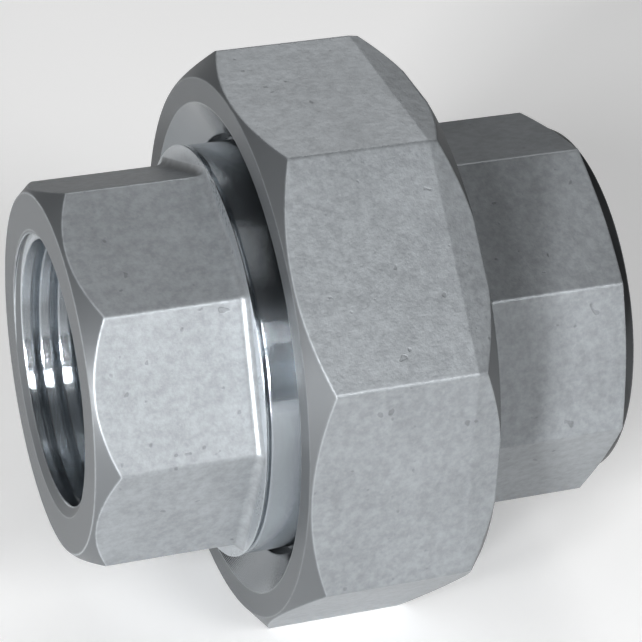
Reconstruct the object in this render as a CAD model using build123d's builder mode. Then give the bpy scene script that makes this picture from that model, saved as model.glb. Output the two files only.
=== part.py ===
from build123d import *
from math import cos, pi, radians, sin, tan
import os

# Pipe union, 3/4 inch, female x female: two pipe ends drawn together by a union nut.
# Millimetres.  X runs along the pipe axis from the tail piece to the head piece, Z is up.
# The origin is on the pipe axis, on the sealing plane, which is also the middle of the nut.

# --- wrench octagons -----------------------------------------------------------------------
SIDES = 8
END_AF = 34.0                  # across flats of both pipe ends
NUT_AF = 51.0                  # across flats of the nut
TAIL_CLOCK = 20.7              # how far each end sits turned from the nut when made up, degrees
HEAD_CLOCK = -13.1
CAST_EDGE_R = 0.5              # rounding of the cast edges between flats

# --- lengths along the axis ----------------------------------------------------------------
UNION_LENGTH = 51.0
NUT_LENGTH = 17.6
TAIL_MOUTH_X = -UNION_LENGTH / 2
HEAD_MOUTH_X = UNION_LENGTH / 2
NUT_FRONT_X = -NUT_LENGTH / 2
NUT_REAR_X = NUT_LENGTH / 2

# --- female pipe thread, 3/4 inch, 14 threads per inch ---------------------------------------
PIPE_PITCH = 1.814
PIPE_MINOR_R = 12.33
PIPE_MAJOR_R = 13.22
PIPE_THREAD_LEN = 13.0
PIPE_BORE_LEN = 14.5           # tapping bore, a little deeper than the thread
PIPE_BORE_TIP = 0.8            # conical end of the tapping bore
PIPE_GROOVE_MOUTH = 0.84       # width of the cut thread at the bore surface
PIPE_GROOVE_ROOT = 0.1
MOUTH_SINK_R = 13.3            # 120 degree countersink at each pipe mouth
WATERWAY_R = 11.0

# --- union thread, 46 mm x 2 mm ---------------------------------------------------------------
UNION_PITCH = 2.0
NUT_MINOR_R = 21.95
NUT_MAJOR_R = 23.15
SPIGOT_ROOT_R = 21.55
SPIGOT_CREST_R = 22.8
FLANK = tan(radians(30))
SPIGOT_CREST_W = 0.3
FLANK_GAP = 0.2                # axial play of the thread on each flank

# --- tail piece -------------------------------------------------------------------------------
SHOULDER_R = 19.3
SHOULDER_X = -10.75            # where the octagon meets the round shoulder
SHOULDER_LAND = 0.14
SHOULDER_FILLET = 0.85
RELIEF_R = 18.6                # turned relief between the shoulder and the neck
RELIEF_W = 0.33
RELIEF_SIDE = 0.08
NECK_R = 19.15
COLLAR_R = 21.4
COLLAR_T = 4.5
TAIL_FACE_R = 16.7             # outline of the machined mouth face
TAIL_FACE_DEPTH = 1.95         # how far back the mouth chamfer cuts the corners

# --- union nut --------------------------------------------------------------------------------
LIP_R = 19.75                  # hole the neck passes through
LIP_SINK_R = 23.0
LIP_SINK_DEPTH = 2.4
LIP_INNER_X = -4.6
NUT_THREAD_START = 2.2         # from the lip to the middle of the first thread
NUT_THREAD_END = 1.4
REAR_SINK_R = 23.8
NUT_FACE_R = 25.3              # circle where the corner chamfer starts
NUT_FACE_DEPTH = 2.0
NUT_DRAFT_LEN = 2.7            # tapered band at the rear of the flats
NUT_DRAFT_DEG = 8.0

# --- head piece -------------------------------------------------------------------------------
HEAD_RIM_X = 0.5
GASKET_SEAT_X = 2.0
SPIGOT_END_X = 8.0             # rear face of the spigot, where the octagon starts
SPIGOT_THREAD_END = 1.0        # from each end of the spigot to the middle of its thread
HEAD_FILLET = 0.8
HEAD_FACE_R = 16.5
HEAD_FACE_DEPTH = 1.0          # the turned mouth rim reaches the flats this far back,
HEAD_CORNER_DEPTH = 1.4        # and cuts the corners this far back

# --- gasket -----------------------------------------------------------------------------------
GASKET_OUT_R = 18.9
GASKET_IN_R = 12.0
SEAT_POCKET_R = 19.2

END_CORNER_R = END_AF / 2 / cos(pi / SIDES)
NUT_CORNER_R = NUT_AF / 2 / cos(pi / SIDES)
CORNER_CLEAR = 0.4             # how far the corner chamfers reach past the corners
OVERRUN = 1.0                  # threads run this far out of an open end
OVERLAP = 0.2                  # a thread body starts this far under the surface it joins
BREAK = 0.3                    # chamfer of turned edges


def across(x, turn=0.0):
    """Plane square to the pipe axis at x, turned about the axis by `turn` degrees."""
    return Plane(
        origin=(x, 0, 0), x_dir=(0, cos(radians(turn)), sin(radians(turn))), z_dir=(1, 0, 0)
    )


def octagon(flats):
    """Octagon of the given width across flats, with a flat facing up and rounded corners."""
    RegularPolygon(radius=flats / 2, side_count=SIDES, major_radius=False, rotation=180 / SIDES)
    fillet(vertices(), CAST_EDGE_R)


def half_section(*outline):
    """Half section, from (x, radius) corners, to be revolved about the pipe axis."""
    with BuildSketch(Plane.XY) as sketch:
        with BuildLine():
            Polyline(*outline, close=True)
        make_face()
    return sketch.sketch


def helical_thread(x0, x1, pitch, base_r, base_w, tip_r, tip_w, phase=0.0):
    """Right-hand thread about the pipe axis from x0 to x1, as a body of its own.

    Its section is a trapezoid, base_w wide at base_r and tip_w wide at tip_r.  Threads of one
    pitch and phase lie on one helix; half a pitch of phase puts a ridge between its ridges.
    """
    start = across(x0, 360 * (x0 / pitch + phase))
    path = start.location * Helix(pitch=pitch, height=x1 - x0, radius=base_r)
    with BuildPart() as thread:
        with BuildSketch(Plane(origin=start.origin, x_dir=start.x_dir, z_dir=start.y_dir)):
            with BuildLine():
                Polyline(
                    (base_r, -base_w / 2), (tip_r, -tip_w / 2),
                    (tip_r, tip_w / 2), (base_r, base_w / 2),
                    close=True,
                )
            make_face()
        sweep(path=path, is_frenet=True)
    return thread.part


def spigot_thread_width(radius):
    """Width of the spigot's 60 degree thread ridge at the given radius."""
    return SPIGOT_CREST_W + 2 * (SPIGOT_CREST_R - radius) * FLANK


def nut_thread_width(radius):
    """Width of the nut's thread ridge there: what the spigot's ridge and the play leave."""
    return UNION_PITCH - spigot_thread_width(radius) - 2 * FLANK_GAP


def pipe_thread_groove(x0, x1):
    """Cutter for the female pipe thread between x0 and x1."""
    slope = (PIPE_GROOVE_MOUTH - PIPE_GROOVE_ROOT) / (PIPE_MAJOR_R - PIPE_MINOR_R)
    return helical_thread(
        x0, x1, PIPE_PITCH,
        PIPE_MINOR_R - OVERLAP, PIPE_GROOVE_MOUTH + OVERLAP * slope,
        PIPE_MAJOR_R, PIPE_GROOVE_ROOT,
    )


def corner_cone(x_face, x_side, face_r, corner_r):
    """Far point (x, radius) of a corner chamfer from face_r at x_face to corner_r at x_side.

    It lies CORNER_CLEAR outside the corners, so a body turned through it spares the flats.
    """
    reach = CORNER_CLEAR / (corner_r - face_r)
    return x_side + (x_side - x_face) * reach, corner_r + CORNER_CLEAR


def pipe_bore(x_mouth, x_end):
    """Half section of the countersink, tapping bore and waterway from x_mouth to x_end."""
    inward = 1 if x_end > x_mouth else -1
    sink_depth = (MOUTH_SINK_R - PIPE_MINOR_R) * tan(radians(30))
    bore_x = x_mouth + inward * PIPE_BORE_LEN
    return half_section(
        (x_mouth, 0), (x_mouth, MOUTH_SINK_R), (x_mouth + inward * sink_depth, PIPE_MINOR_R),
        (bore_x, PIPE_MINOR_R), (bore_x + inward * PIPE_BORE_TIP, WATERWAY_R),
        (x_end, WATERWAY_R), (x_end, 0),
    )


def root_edges(x, rim_r):
    """Edges at x where an octagon meets a round shoulder: all of them but the shoulder's rim."""
    found = edges().filter_by_position(Axis.X, x - 0.01, x + 0.01)
    return [edge for edge in found if (edge @ 0).Y ** 2 + (edge @ 0).Z ** 2 < (rim_r - 0.1) ** 2]


# --- tail piece -------------------------------------------------------------------------------
with BuildPart() as tail_piece:
    with BuildSketch(across(TAIL_MOUTH_X, TAIL_CLOCK)):
        octagon(END_AF)
    extrude(amount=SHOULDER_X - TAIL_MOUTH_X)
    # turned mouth face with its corner chamfer
    profile = half_section(
        (TAIL_MOUTH_X, 0), (TAIL_MOUTH_X, TAIL_FACE_R),
        corner_cone(TAIL_MOUTH_X, TAIL_MOUTH_X + TAIL_FACE_DEPTH, TAIL_FACE_R, END_CORNER_R),
        (SHOULDER_X, END_CORNER_R + CORNER_CLEAR), (SHOULDER_X, 0),
    )
    revolve(profile, axis=Axis.X, mode=Mode.INTERSECT)
    # round shoulder, with a cast fillet along the flats
    with BuildSketch(across(SHOULDER_X)):
        Circle(SHOULDER_R)
    extrude(amount=SHOULDER_LAND)
    fillet(root_edges(SHOULDER_X, SHOULDER_R), SHOULDER_FILLET)
    # relief, neck and collar
    land_x = SHOULDER_X + SHOULDER_LAND
    neck_x = land_x + RELIEF_W
    profile = half_section(
        (land_x - RELIEF_SIDE, 0), (land_x - RELIEF_SIDE, RELIEF_R), (neck_x, RELIEF_R),
        (neck_x + RELIEF_SIDE, NECK_R), (-COLLAR_T, NECK_R), (-COLLAR_T, COLLAR_R - BREAK),
        (BREAK - COLLAR_T, COLLAR_R), (-BREAK, COLLAR_R), (0, COLLAR_R - BREAK), (0, 0),
    )
    revolve(profile, axis=Axis.X)
    revolve(pipe_bore(TAIL_MOUTH_X, 0), axis=Axis.X, mode=Mode.SUBTRACT)
    groove = pipe_thread_groove(TAIL_MOUTH_X - OVERRUN, TAIL_MOUTH_X + PIPE_THREAD_LEN)
    add(groove, mode=Mode.SUBTRACT)
tail_piece.part.label = "tail_piece"

# --- union nut --------------------------------------------------------------------------------
with BuildPart() as union_nut:
    draft_x = NUT_REAR_X - NUT_DRAFT_LEN
    with BuildSketch(across(NUT_FRONT_X)):
        octagon(NUT_AF)
    extrude(amount=draft_x - NUT_FRONT_X)
    with BuildSketch(across(draft_x)):
        octagon(NUT_AF)
    extrude(amount=NUT_DRAFT_LEN, taper=NUT_DRAFT_DEG)
    # turned faces with corner chamfers at both ends
    profile = half_section(
        (NUT_FRONT_X, 0), (NUT_FRONT_X, NUT_FACE_R),
        corner_cone(NUT_FRONT_X, NUT_FRONT_X + NUT_FACE_DEPTH, NUT_FACE_R, NUT_CORNER_R),
        corner_cone(NUT_REAR_X, NUT_REAR_X - NUT_FACE_DEPTH, NUT_FACE_R, NUT_CORNER_R),
        (NUT_REAR_X, NUT_FACE_R), (NUT_REAR_X, 0),
    )
    revolve(profile, axis=Axis.X, mode=Mode.INTERSECT)
    # countersunk lip, threaded chamber and rear entry
    rear_sink = REAR_SINK_R - NUT_MAJOR_R
    profile = half_section(
        (NUT_FRONT_X, 0), (NUT_FRONT_X, LIP_SINK_R), (NUT_FRONT_X + LIP_SINK_DEPTH, LIP_R),
        (LIP_INNER_X, LIP_R), (LIP_INNER_X, NUT_MAJOR_R), (NUT_REAR_X - rear_sink, NUT_MAJOR_R),
        (NUT_REAR_X, REAR_SINK_R), (NUT_REAR_X, 0),
    )
    revolve(profile, axis=Axis.X, mode=Mode.SUBTRACT)
    root_r = NUT_MAJOR_R + OVERLAP
    thread = helical_thread(
        LIP_INNER_X + NUT_THREAD_START, NUT_REAR_X - NUT_THREAD_END, UNION_PITCH,
        root_r, nut_thread_width(root_r), NUT_MINOR_R, nut_thread_width(NUT_MINOR_R), phase=0.5,
    )
    add(thread)
union_nut.part.label = "union_nut"

# --- head piece -------------------------------------------------------------------------------
with BuildPart() as head_piece:
    with BuildSketch(across(SPIGOT_END_X, HEAD_CLOCK)):
        octagon(END_AF)
    extrude(amount=HEAD_MOUTH_X - SPIGOT_END_X)
    # turned mouth rim
    clear_r = END_CORNER_R + CORNER_CLEAR
    profile = half_section(
        (SPIGOT_END_X, 0), (SPIGOT_END_X, clear_r), (HEAD_MOUTH_X - HEAD_CORNER_DEPTH, clear_r),
        (HEAD_MOUTH_X - HEAD_FACE_DEPTH, END_AF / 2), (HEAD_MOUTH_X, HEAD_FACE_R),
        (HEAD_MOUTH_X, 0),
    )
    revolve(profile, axis=Axis.X, mode=Mode.INTERSECT)
    # spigot, with a cast fillet along the flats behind it
    profile = half_section(
        (HEAD_RIM_X, 0), (HEAD_RIM_X, SPIGOT_ROOT_R - BREAK), (HEAD_RIM_X + BREAK, SPIGOT_ROOT_R),
        (SPIGOT_END_X - BREAK, SPIGOT_ROOT_R), (SPIGOT_END_X, SPIGOT_ROOT_R - BREAK),
        (SPIGOT_END_X, 0),
    )
    revolve(profile, axis=Axis.X)
    fillet(root_edges(SPIGOT_END_X, SPIGOT_ROOT_R - BREAK), HEAD_FILLET)
    base_r = SPIGOT_ROOT_R - OVERLAP
    thread = helical_thread(
        HEAD_RIM_X + SPIGOT_THREAD_END, SPIGOT_END_X - SPIGOT_THREAD_END, UNION_PITCH,
        base_r, spigot_thread_width(base_r), SPIGOT_CREST_R, SPIGOT_CREST_W,
    )
    add(thread)
    # gasket seat, then the pipe bore
    profile = half_section(
        (HEAD_RIM_X, 0), (HEAD_RIM_X, SEAT_POCKET_R + BREAK), (HEAD_RIM_X + BREAK, SEAT_POCKET_R),
        (GASKET_SEAT_X, SEAT_POCKET_R), (GASKET_SEAT_X, 0),
    )
    revolve(profile, axis=Axis.X, mode=Mode.SUBTRACT)
    revolve(pipe_bore(HEAD_MOUTH_X, GASKET_SEAT_X), axis=Axis.X, mode=Mode.SUBTRACT)
    groove = pipe_thread_groove(HEAD_MOUTH_X - PIPE_THREAD_LEN, HEAD_MOUTH_X + OVERRUN)
    add(groove, mode=Mode.SUBTRACT)
head_piece.part.label = "head_piece"

# --- sealing gasket ---------------------------------------------------------------------------
with BuildPart() as sealing_gasket:
    with BuildSketch(across(0)):
        Circle(GASKET_OUT_R)
        Circle(GASKET_IN_R, mode=Mode.SUBTRACT)
    extrude(amount=GASKET_SEAT_X)
sealing_gasket.part.label = "sealing_gasket"

os.makedirs("parts", exist_ok=True)
for piece in (tail_piece, union_nut, head_piece, sealing_gasket):
    export_step(piece.part, f"parts/{piece.part.label}.step")
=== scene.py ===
import math

import bpy
from mathutils import Matrix, Vector


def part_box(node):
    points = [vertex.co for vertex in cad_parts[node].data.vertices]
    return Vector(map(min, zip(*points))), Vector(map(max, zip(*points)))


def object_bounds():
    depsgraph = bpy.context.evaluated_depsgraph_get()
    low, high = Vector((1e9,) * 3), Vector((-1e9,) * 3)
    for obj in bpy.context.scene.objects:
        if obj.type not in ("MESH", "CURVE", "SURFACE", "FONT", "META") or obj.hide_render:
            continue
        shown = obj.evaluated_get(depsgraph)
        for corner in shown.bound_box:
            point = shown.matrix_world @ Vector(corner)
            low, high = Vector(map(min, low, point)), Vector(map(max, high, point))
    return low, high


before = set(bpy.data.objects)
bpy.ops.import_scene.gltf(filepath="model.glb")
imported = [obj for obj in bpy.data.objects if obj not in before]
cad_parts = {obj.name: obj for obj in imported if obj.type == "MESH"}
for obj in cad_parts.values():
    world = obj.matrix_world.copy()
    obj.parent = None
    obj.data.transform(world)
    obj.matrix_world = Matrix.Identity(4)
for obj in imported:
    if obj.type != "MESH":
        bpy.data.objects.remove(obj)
cad_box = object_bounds()

MM = 0.001


# --- material nodes ------------------------------------------------------------------------

EDGE_SAMPLES = 6


class Graph:
    """Builds a material's nodes; every call returns an output socket."""

    def __init__(self, name):
        self.material = bpy.data.materials.new(name)
        self.material.use_nodes = True
        self.tree = self.material.node_tree
        self.shader = self.tree.nodes["Principled BSDF"]

    def feed(self, socket, value):
        if isinstance(value, bpy.types.NodeSocket):
            self.tree.links.new(value, socket)
        else:
            socket.default_value = value

    def math(self, operation, a, b=0.0, c=0.0):
        node = self.tree.nodes.new("ShaderNodeMath")
        node.operation = operation
        for socket, value in zip(node.inputs, (a, b, c)):
            self.feed(socket, value)
        return node.outputs[0]

    def vector_math(self, operation, a, b):
        """Vector or number result of a vector operation, as the operation gives."""
        node = self.tree.nodes.new("ShaderNodeVectorMath")
        node.operation = operation
        self.feed(node.inputs[0], a)
        self.feed(node.inputs[1], b)
        return node.outputs["Value" if operation == "DOT_PRODUCT" else "Vector"]

    def split(self, vector):
        node = self.tree.nodes.new("ShaderNodeSeparateXYZ")
        self.feed(node.inputs[0], vector)
        return node.outputs

    def ramp(self, value, low, high, out_low=0.0, out_high=1.0):
        """Smooth step of value from low to high."""
        node = self.tree.nodes.new("ShaderNodeMapRange")
        node.interpolation_type = "SMOOTHSTEP"
        for i, v in enumerate((value, low, high, out_low, out_high)):
            self.feed(node.inputs[i], v)
        return node.outputs[0]

    def noise(self, place, size, detail=2.0, roughness=0.5):
        """Noise with features about `size` metres across."""
        node = self.tree.nodes.new("ShaderNodeTexNoise")
        self.feed(node.inputs["Vector"], place)
        node.inputs["Scale"].default_value = 1 / size
        node.inputs["Detail"].default_value = detail
        node.inputs["Roughness"].default_value = roughness
        return node.outputs["Fac"]

    def mix(self, share, a, b):
        node = self.tree.nodes.new("ShaderNodeMix")
        node.data_type = "FLOAT"
        for i, v in zip((0, 2, 3), (share, a, b)):
            self.feed(node.inputs[i], v)
        return node.outputs[0]

    def tinted(self, value, tint):
        """Colour of the given brightness and tint."""
        node = self.tree.nodes.new("ShaderNodeCombineColor")
        for socket, share in zip(node.inputs, tint):
            self.feed(socket, self.math("MULTIPLY", value, share))
        return node.outputs[0]

    def rounded(self, radius):
        """Surface normal with every edge softened over the given radius."""
        node = self.tree.nodes.new("ShaderNodeBevel")
        node.samples = EDGE_SAMPLES
        node.inputs["Radius"].default_value = radius
        return node.outputs[0]

    def bump(self, height, distance, normal):
        node = self.tree.nodes.new("ShaderNodeBump")
        node.inputs["Strength"].default_value = 1.0
        node.inputs["Distance"].default_value = distance
        self.feed(node.inputs["Height"], height)
        self.feed(node.inputs["Normal"], normal)
        return node.outputs[0]


# --- camera, floor and light ---------------------------------------------------------------

CAMERA_PLACE = Vector((-0.07688, -0.20982, 0.14166))
CAMERA_RIGHT = Vector((0.94562, -0.32264, 0.04136))
CAMERA_UP = Vector((0.13848, 0.51438, 0.84633))
CAMERA_BACK = Vector((-0.29433, -0.79457, 0.53108))
CAMERA_LENS = 157.77
CAMERA_SENSOR = 36.0
CLIP_NEAR, CLIP_FAR = 0.01, 50.0
FLOOR_HALF = 6.0
FLOOR_WHITE = 0.9
FLOOR_ROUGHNESS = 0.9
# painted pool of light: the floor glows around the object and lights it from below
FLOOR_GLOW = 0.2               # fades out from GLOW_NEAR to GLOW_FAR around the object
GLOW_NEAR, GLOW_FAR = 0.1, 0.45

LAMP_DISTANCE = 1.0
# Name, azimuth and elevation seen from the object (azimuth 0 is in front, 90 to the right),
# width, height, power.
SOFTBOXES = [
    ("key", -44, 29, 0.14, 0.14, 2.8),
    ("low_key", -46, 10, 0.16, 0.2, 11.0),
    ("front", 17, 34, 0.25, 0.3, 3.3),
    ("front_low", 17, 14, 0.2, 0.2, 0.8),
    ("top", 10, 85, 0.6, 0.6, 1.0),
    ("back", 160, 38, 0.5, 0.4, 1.9),
]
CONTRAST = 0.8                 # gamma of the finished picture
SKY_STRENGTH = 0.02


def aim(obj, back, up):
    """Turns obj where it stands so that its local Z points along back."""
    z = back.normalized()
    x = up.cross(z).normalized()
    y = z.cross(x)
    turn = Matrix((x, y, z)).transposed().to_4x4()
    obj.matrix_world = Matrix.Translation(obj.location) @ turn


def make_camera():
    data = bpy.data.cameras.new("camera")
    data.lens = CAMERA_LENS
    data.sensor_width = CAMERA_SENSOR
    data.clip_start, data.clip_end = CLIP_NEAR, CLIP_FAR
    camera = bpy.data.objects.new("camera", data)
    bpy.context.scene.collection.objects.link(camera)
    turn = Matrix((CAMERA_RIGHT, CAMERA_UP, CAMERA_BACK)).transposed().to_4x4()
    camera.matrix_world = Matrix.Translation(CAMERA_PLACE) @ turn
    bpy.context.scene.camera = camera


def make_floor(z):
    mesh = bpy.data.meshes.new("floor")
    corners = [(FLOOR_HALF * x, FLOOR_HALF * y, z) for x, y in ((-1, -1), (1, -1), (1, 1), (-1, 1))]
    mesh.from_pydata(corners, [], [(0, 1, 2, 3)])
    floor = bpy.data.objects.new("floor", mesh)
    bpy.context.scene.collection.objects.link(floor)
    graph = Graph("floor_paper")
    shader = graph.shader
    shader.inputs["Base Color"].default_value = (FLOOR_WHITE, FLOOR_WHITE, FLOOR_WHITE, 1)
    shader.inputs["Roughness"].default_value = FLOOR_ROUGHNESS
    shader.inputs["Specular IOR Level"].default_value = 0.0
    shader.inputs["Emission Color"].default_value = (1, 1, 1, 1)
    coords = graph.tree.nodes.new("ShaderNodeTexCoord")
    x, y, _ = graph.split(coords.outputs["Object"])
    reach = graph.math("SQRT", graph.math("MULTIPLY_ADD", x, x, graph.math("MULTIPLY", y, y)))
    # painted pool of light: emission on the floor, brightest near the object
    graph.feed(shader.inputs["Emission Strength"],
               graph.ramp(reach, GLOW_NEAR, GLOW_FAR, FLOOR_GLOW, 0.0))
    mesh.materials.append(graph.material)


def make_softbox(name, azimuth, elevation, width, height, power):
    data = bpy.data.lights.new(name, "AREA")
    data.shape = "RECTANGLE"
    data.size, data.size_y = width, height
    data.energy = power
    lamp = bpy.data.objects.new(name, data)
    bpy.context.scene.collection.objects.link(lamp)
    a, e = math.radians(azimuth), math.radians(elevation)
    out = Vector((math.sin(a) * math.cos(e), -math.cos(a) * math.cos(e), math.sin(e)))
    lamp.location = LAMP_DISTANCE * out
    aim(lamp, out, Vector((0, 0, 1)))


def make_sky():
    world = bpy.data.worlds.new("studio")
    world.use_nodes = True
    background = world.node_tree.nodes["Background"]
    background.inputs["Color"].default_value = (1, 1, 1, 1)
    background.inputs["Strength"].default_value = SKY_STRENGTH
    bpy.context.scene.world = world


# --- steel ---------------------------------------------------------------------------------

STEEL_TINT = (0.95, 1.0, 1.045)
CAST_METAL = 0.45
EDGE_ROUND = 0.28 * MM
# painted shade: how much darker the cast edges between the flats are painted
EDGE_PAINTED_SHADE = 0.6
EDGE_TURN = (0.995, 0.94)      # how far the rounded normal turns away from the surface, as cosines
EDGE_LEAN = (0.06, 0.12)       # edges leaning along the pipe axis more than this are turned ones
# painted highlight: how far the turned edges are lightened toward the turned tone
TURNED_EDGE_HIGHLIGHT = 0.6

# What noise draws on the castings, by size, and how much each changes the brightness.
GRAIN_SIZE, GRAIN_SPREAD = 0.3 * MM, 0.04
MOTTLE_SIZE, MOTTLE_LOW, MOTTLE_HIGH = 0.9 * MM, 0.9, 1.1
CLOUD_SIZE, CLOUD_SPREAD = 8 * MM, 0.04
PIT_SIZE, PIT_DARK, PIT_DEPTH = 1.1 * MM, 0.2, 0.6
PIT_LEVEL = (0.27, 0.22)       # only the lowest of the noise becomes a pit
GRAIN_HEIGHT = 0.35            # height of the grain next to that of the mottle
BUMP_HEIGHT = 0.028 * MM

TURNED_PITCH = 0.08 * MM
GROOVE_SKEW = 1.37             # grooves across the end faces, next to those along the pipe axis
FACED_GROOVE = 0.05
TURNED_CLOUD = (0.94, 1.04)

CAST_ROUGH = (0.38, 0.46)
FACED_ROUGH = 0.4
TURNED_ROUGH = (0.15, 0.21)

# Where one surface gives way to the next: radii, and places along the pipe axis.
MASK_SOFT = 0.03 * MM
SINK_DEPTH = 0.5 * MM
BORE_WALL = (13.45 * MM, 13.35 * MM)
NECK_START = (-10.78 * MM, -10.72 * MM)
NUT_CHAMBER = (23.1 * MM, 22.95 * MM)
SPIGOT_END = (8.03 * MM, 7.97 * MM)
FACE_SLANT = (0.25, 0.3)
TAIL_FACE_DEPTH, NUT_FACE_DEPTH, HEAD_FACE_DEPTH = 2.4 * MM, 2.6 * MM, 2.2 * MM

GASKET_TINT = (1.0, 1.0, 0.96)
GASKET_BRIGHT = (0.66, 0.8)
GASKET_ROUGH = (0.55, 0.7)
FLECK_SIZE = 0.5 * MM
FLECK_HEIGHT = 0.03 * MM


def band(graph, value, low, high):
    """1 where value lies between low and high."""
    rise = graph.ramp(value, low - MASK_SOFT, low + MASK_SOFT)
    fall = graph.ramp(value, high - MASK_SOFT, high + MASK_SOFT)
    return graph.math("SUBTRACT", rise, fall)


def either(graph, *masks):
    """1 where any of the masks is 1."""
    total = masks[0]
    for mask in masks[1:]:
        total = graph.math("MAXIMUM", total, mask)
    return total


def lean(graph, normal):
    """How far a normal leans along the pipe axis: none on the flats and the edges between them."""
    return graph.math("ABSOLUTE", graph.split(normal)[0])


def steel(name, find_turned, seed, cast_tone, faced_tone, turned_tone, groove):
    """Cast and blasted stainless steel, with turned surfaces and faced ends.

    find_turned gives the masks of the bright turned surfaces and of the satin end faces.
    The tones are brightnesses of the three finishes, set apart from part to part with painted light
    and shade in them; groove is the height of the turning marks.
    """
    graph = Graph(name)
    coords = graph.tree.nodes.new("ShaderNodeTexCoord")
    x, y, z = graph.split(coords.outputs["Object"])
    radius = graph.math("SQRT", graph.math("MULTIPLY_ADD", y, y, graph.math("MULTIPLY", z, z)))
    slant = lean(graph, coords.outputs["Normal"])
    turned, faced = find_turned(graph, x, radius, slant)
    place = graph.vector_math("ADD", coords.outputs["Object"], (seed, -seed, 2 * seed))

    grain = graph.noise(place, GRAIN_SIZE, roughness=0.6)
    mottle = graph.noise(place, MOTTLE_SIZE, detail=3.0, roughness=0.65)
    cloud = graph.noise(place, CLOUD_SIZE)
    pits = graph.ramp(graph.noise(place, PIT_SIZE, detail=1.0), *PIT_LEVEL)
    along = graph.math("MULTIPLY_ADD", radius, GROOVE_SKEW, x)
    grooves = graph.math("SINE", graph.math("MULTIPLY", along, 2 * math.pi / TURNED_PITCH))

    shape = graph.tree.nodes.new("ShaderNodeNewGeometry")
    soft = graph.rounded(EDGE_ROUND)
    facing = graph.vector_math("DOT_PRODUCT", soft, shape.outputs["Normal"])
    edge = graph.ramp(facing, *EDGE_TURN)
    edge = graph.math("MULTIPLY", edge, graph.ramp(mottle, 0.3, 0.5, 0.5, 1.0))
    highlit_turned_edge = graph.math("MULTIPLY", edge, graph.ramp(lean(graph, soft), *EDGE_LEAN))
    shaded_cast_edge = graph.math("SUBTRACT", edge, highlit_turned_edge)

    cast = graph.math("ADD", graph.ramp(mottle, 0.25, 0.75, MOTTLE_LOW, MOTTLE_HIGH),
                      graph.ramp(cloud, 0.3, 0.7, -CLOUD_SPREAD, CLOUD_SPREAD))
    cast = graph.math("ADD", cast, graph.ramp(grain, 0.25, 0.75, -GRAIN_SPREAD, GRAIN_SPREAD))
    cast = graph.math("SUBTRACT", cast, graph.math("MULTIPLY", pits, PIT_DARK))
    # painted shade: the cast edges between the flats are darkened
    cast = graph.math("SUBTRACT", cast, graph.math("MULTIPLY", shaded_cast_edge, EDGE_PAINTED_SHADE))
    cast = graph.mix(faced, graph.math("MULTIPLY", cast, cast_tone), faced_tone)
    # painted highlight: the turned edges are lightened toward the turned tone
    cast = graph.mix(graph.math("MULTIPLY", highlit_turned_edge, TURNED_EDGE_HIGHLIGHT), cast, turned_tone)
    bright = graph.math("MULTIPLY", graph.ramp(cloud, 0.3, 0.7, *TURNED_CLOUD), turned_tone)
    graph.feed(graph.shader.inputs["Base Color"],
               graph.tinted(graph.mix(turned, cast, bright), STEEL_TINT))
    rough = graph.mix(faced, graph.ramp(grain, 0.3, 0.7, *CAST_ROUGH), FACED_ROUGH)
    bright_rough = graph.ramp(cloud, 0.3, 0.7, *TURNED_ROUGH)
    graph.feed(graph.shader.inputs["Roughness"], graph.mix(turned, rough, bright_rough))
    graph.feed(graph.shader.inputs["Metallic"], graph.mix(turned, CAST_METAL, 1.0))

    cast_height = graph.math("MULTIPLY_ADD", grain, GRAIN_HEIGHT, mottle)
    cast_height = graph.math("SUBTRACT", cast_height, graph.math("MULTIPLY", pits, PIT_DEPTH))
    height = graph.mix(faced, cast_height, graph.math("MULTIPLY", grooves, FACED_GROOVE))
    height = graph.mix(turned, height, graph.math("MULTIPLY", grooves, groove))
    graph.feed(graph.shader.inputs["Normal"], graph.bump(height, BUMP_HEIGHT, soft))
    return graph.material


def near_face(graph, x, slant, face_x, depth):
    """Turned face and corner chamfer at the end face_x: not the flats, which have no slant."""
    reach = band(graph, x, face_x - depth, face_x + depth)
    return graph.math("MULTIPLY", reach, graph.ramp(slant, *FACE_SLANT))


def bore(graph, x, radius, x0, x1):
    """Threads and bore between x0 and x1, without the countersink at the mouth."""
    return graph.math("MULTIPLY", graph.ramp(radius, *BORE_WALL),
                      band(graph, x, x0, x1))


def tail_turned(graph, x, radius, slant):
    mouth_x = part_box("tail_piece")[0].x
    neck = graph.ramp(x, *NECK_START)
    threads = bore(graph, x, radius, mouth_x + SINK_DEPTH, 0.0)
    return either(graph, threads, neck), near_face(graph, x, slant, mouth_x, TAIL_FACE_DEPTH)


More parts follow.
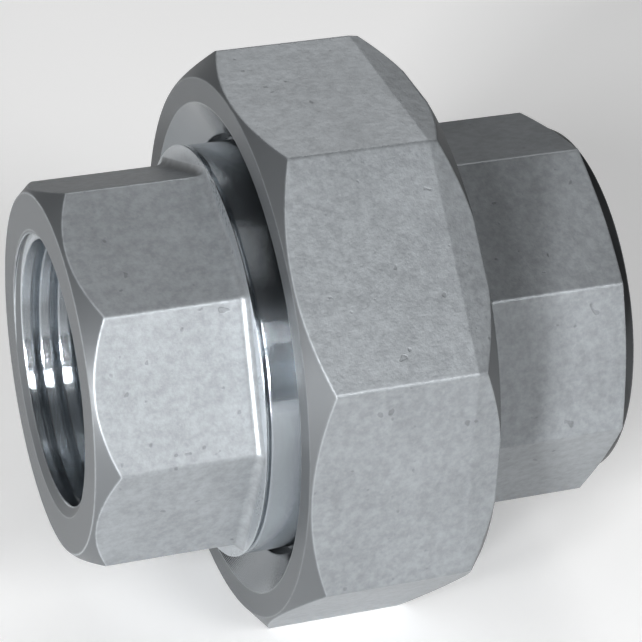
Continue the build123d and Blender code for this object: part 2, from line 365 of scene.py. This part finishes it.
def nut_turned(graph, x, radius, slant):
    low, high = (corner.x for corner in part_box("union_nut"))
    ends = either(
        graph,
        near_face(graph, x, slant, low, NUT_FACE_DEPTH),
        near_face(graph, x, slant, high, NUT_FACE_DEPTH),
    )
    return graph.ramp(radius, *NUT_CHAMBER), ends


def head_turned(graph, x, radius, slant):
    mouth_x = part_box("head_piece")[1].x
    spigot = graph.ramp(x, *SPIGOT_END)
    threads = bore(graph, x, radius, 0.0, mouth_x - SINK_DEPTH)
    return either(graph, threads, spigot), near_face(graph, x, slant, mouth_x, HEAD_FACE_DEPTH)


def fibre(name):
    """Compressed fibre sheet of the gasket."""
    graph = Graph(name)
    coords = graph.tree.nodes.new("ShaderNodeTexCoord")
    shape = graph.tree.nodes.new("ShaderNodeNewGeometry")
    fleck = graph.noise(coords.outputs["Object"], FLECK_SIZE, detail=4.0, roughness=0.7)
    brightness = graph.ramp(fleck, 0.3, 0.7, *GASKET_BRIGHT)
    graph.feed(graph.shader.inputs["Base Color"], graph.tinted(brightness, GASKET_TINT))
    graph.feed(graph.shader.inputs["Roughness"], graph.ramp(fleck, 0.3, 0.7, *GASKET_ROUGH))
    graph.feed(graph.shader.inputs["Normal"],
               graph.bump(fleck, FLECK_HEIGHT, shape.outputs["Normal"]))
    return graph.material


def paint(node, material):
    """Gives a CAD mesh this material and no other."""
    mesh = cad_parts[node].data
    mesh.materials.clear()
    mesh.materials.append(material)


make_camera()
make_floor(cad_box[0].z)
make_sky()
for softbox in SOFTBOXES:
    make_softbox(*softbox)
bpy.context.scene.view_settings.view_transform = "Standard"
bpy.context.scene.view_settings.gamma = CONTRAST

# painted light in the tones: the tail's turned metal is set lighter than on the other parts
paint("tail_piece", steel(
    "tail_cast_steel", tail_turned,
    seed=0.11, cast_tone=0.36, faced_tone=0.2, turned_tone=0.75, groove=0.2,
))
# painted shade in the tones: the turned inside of the nut is set darker than on the other parts
paint("union_nut", steel(
    "nut_cast_steel", nut_turned,
    seed=0.23, cast_tone=0.34, faced_tone=0.18, turned_tone=0.45, groove=0.06,
))
# painted shade in the tones: the head's faced end is set much darker than on the other parts
paint("head_piece", steel(
    "head_cast_steel", head_turned,
    seed=0.37, cast_tone=0.34, faced_tone=0.08, turned_tone=0.55, groove=0.3,
))
paint("sealing_gasket", fibre("gasket_fibre"))
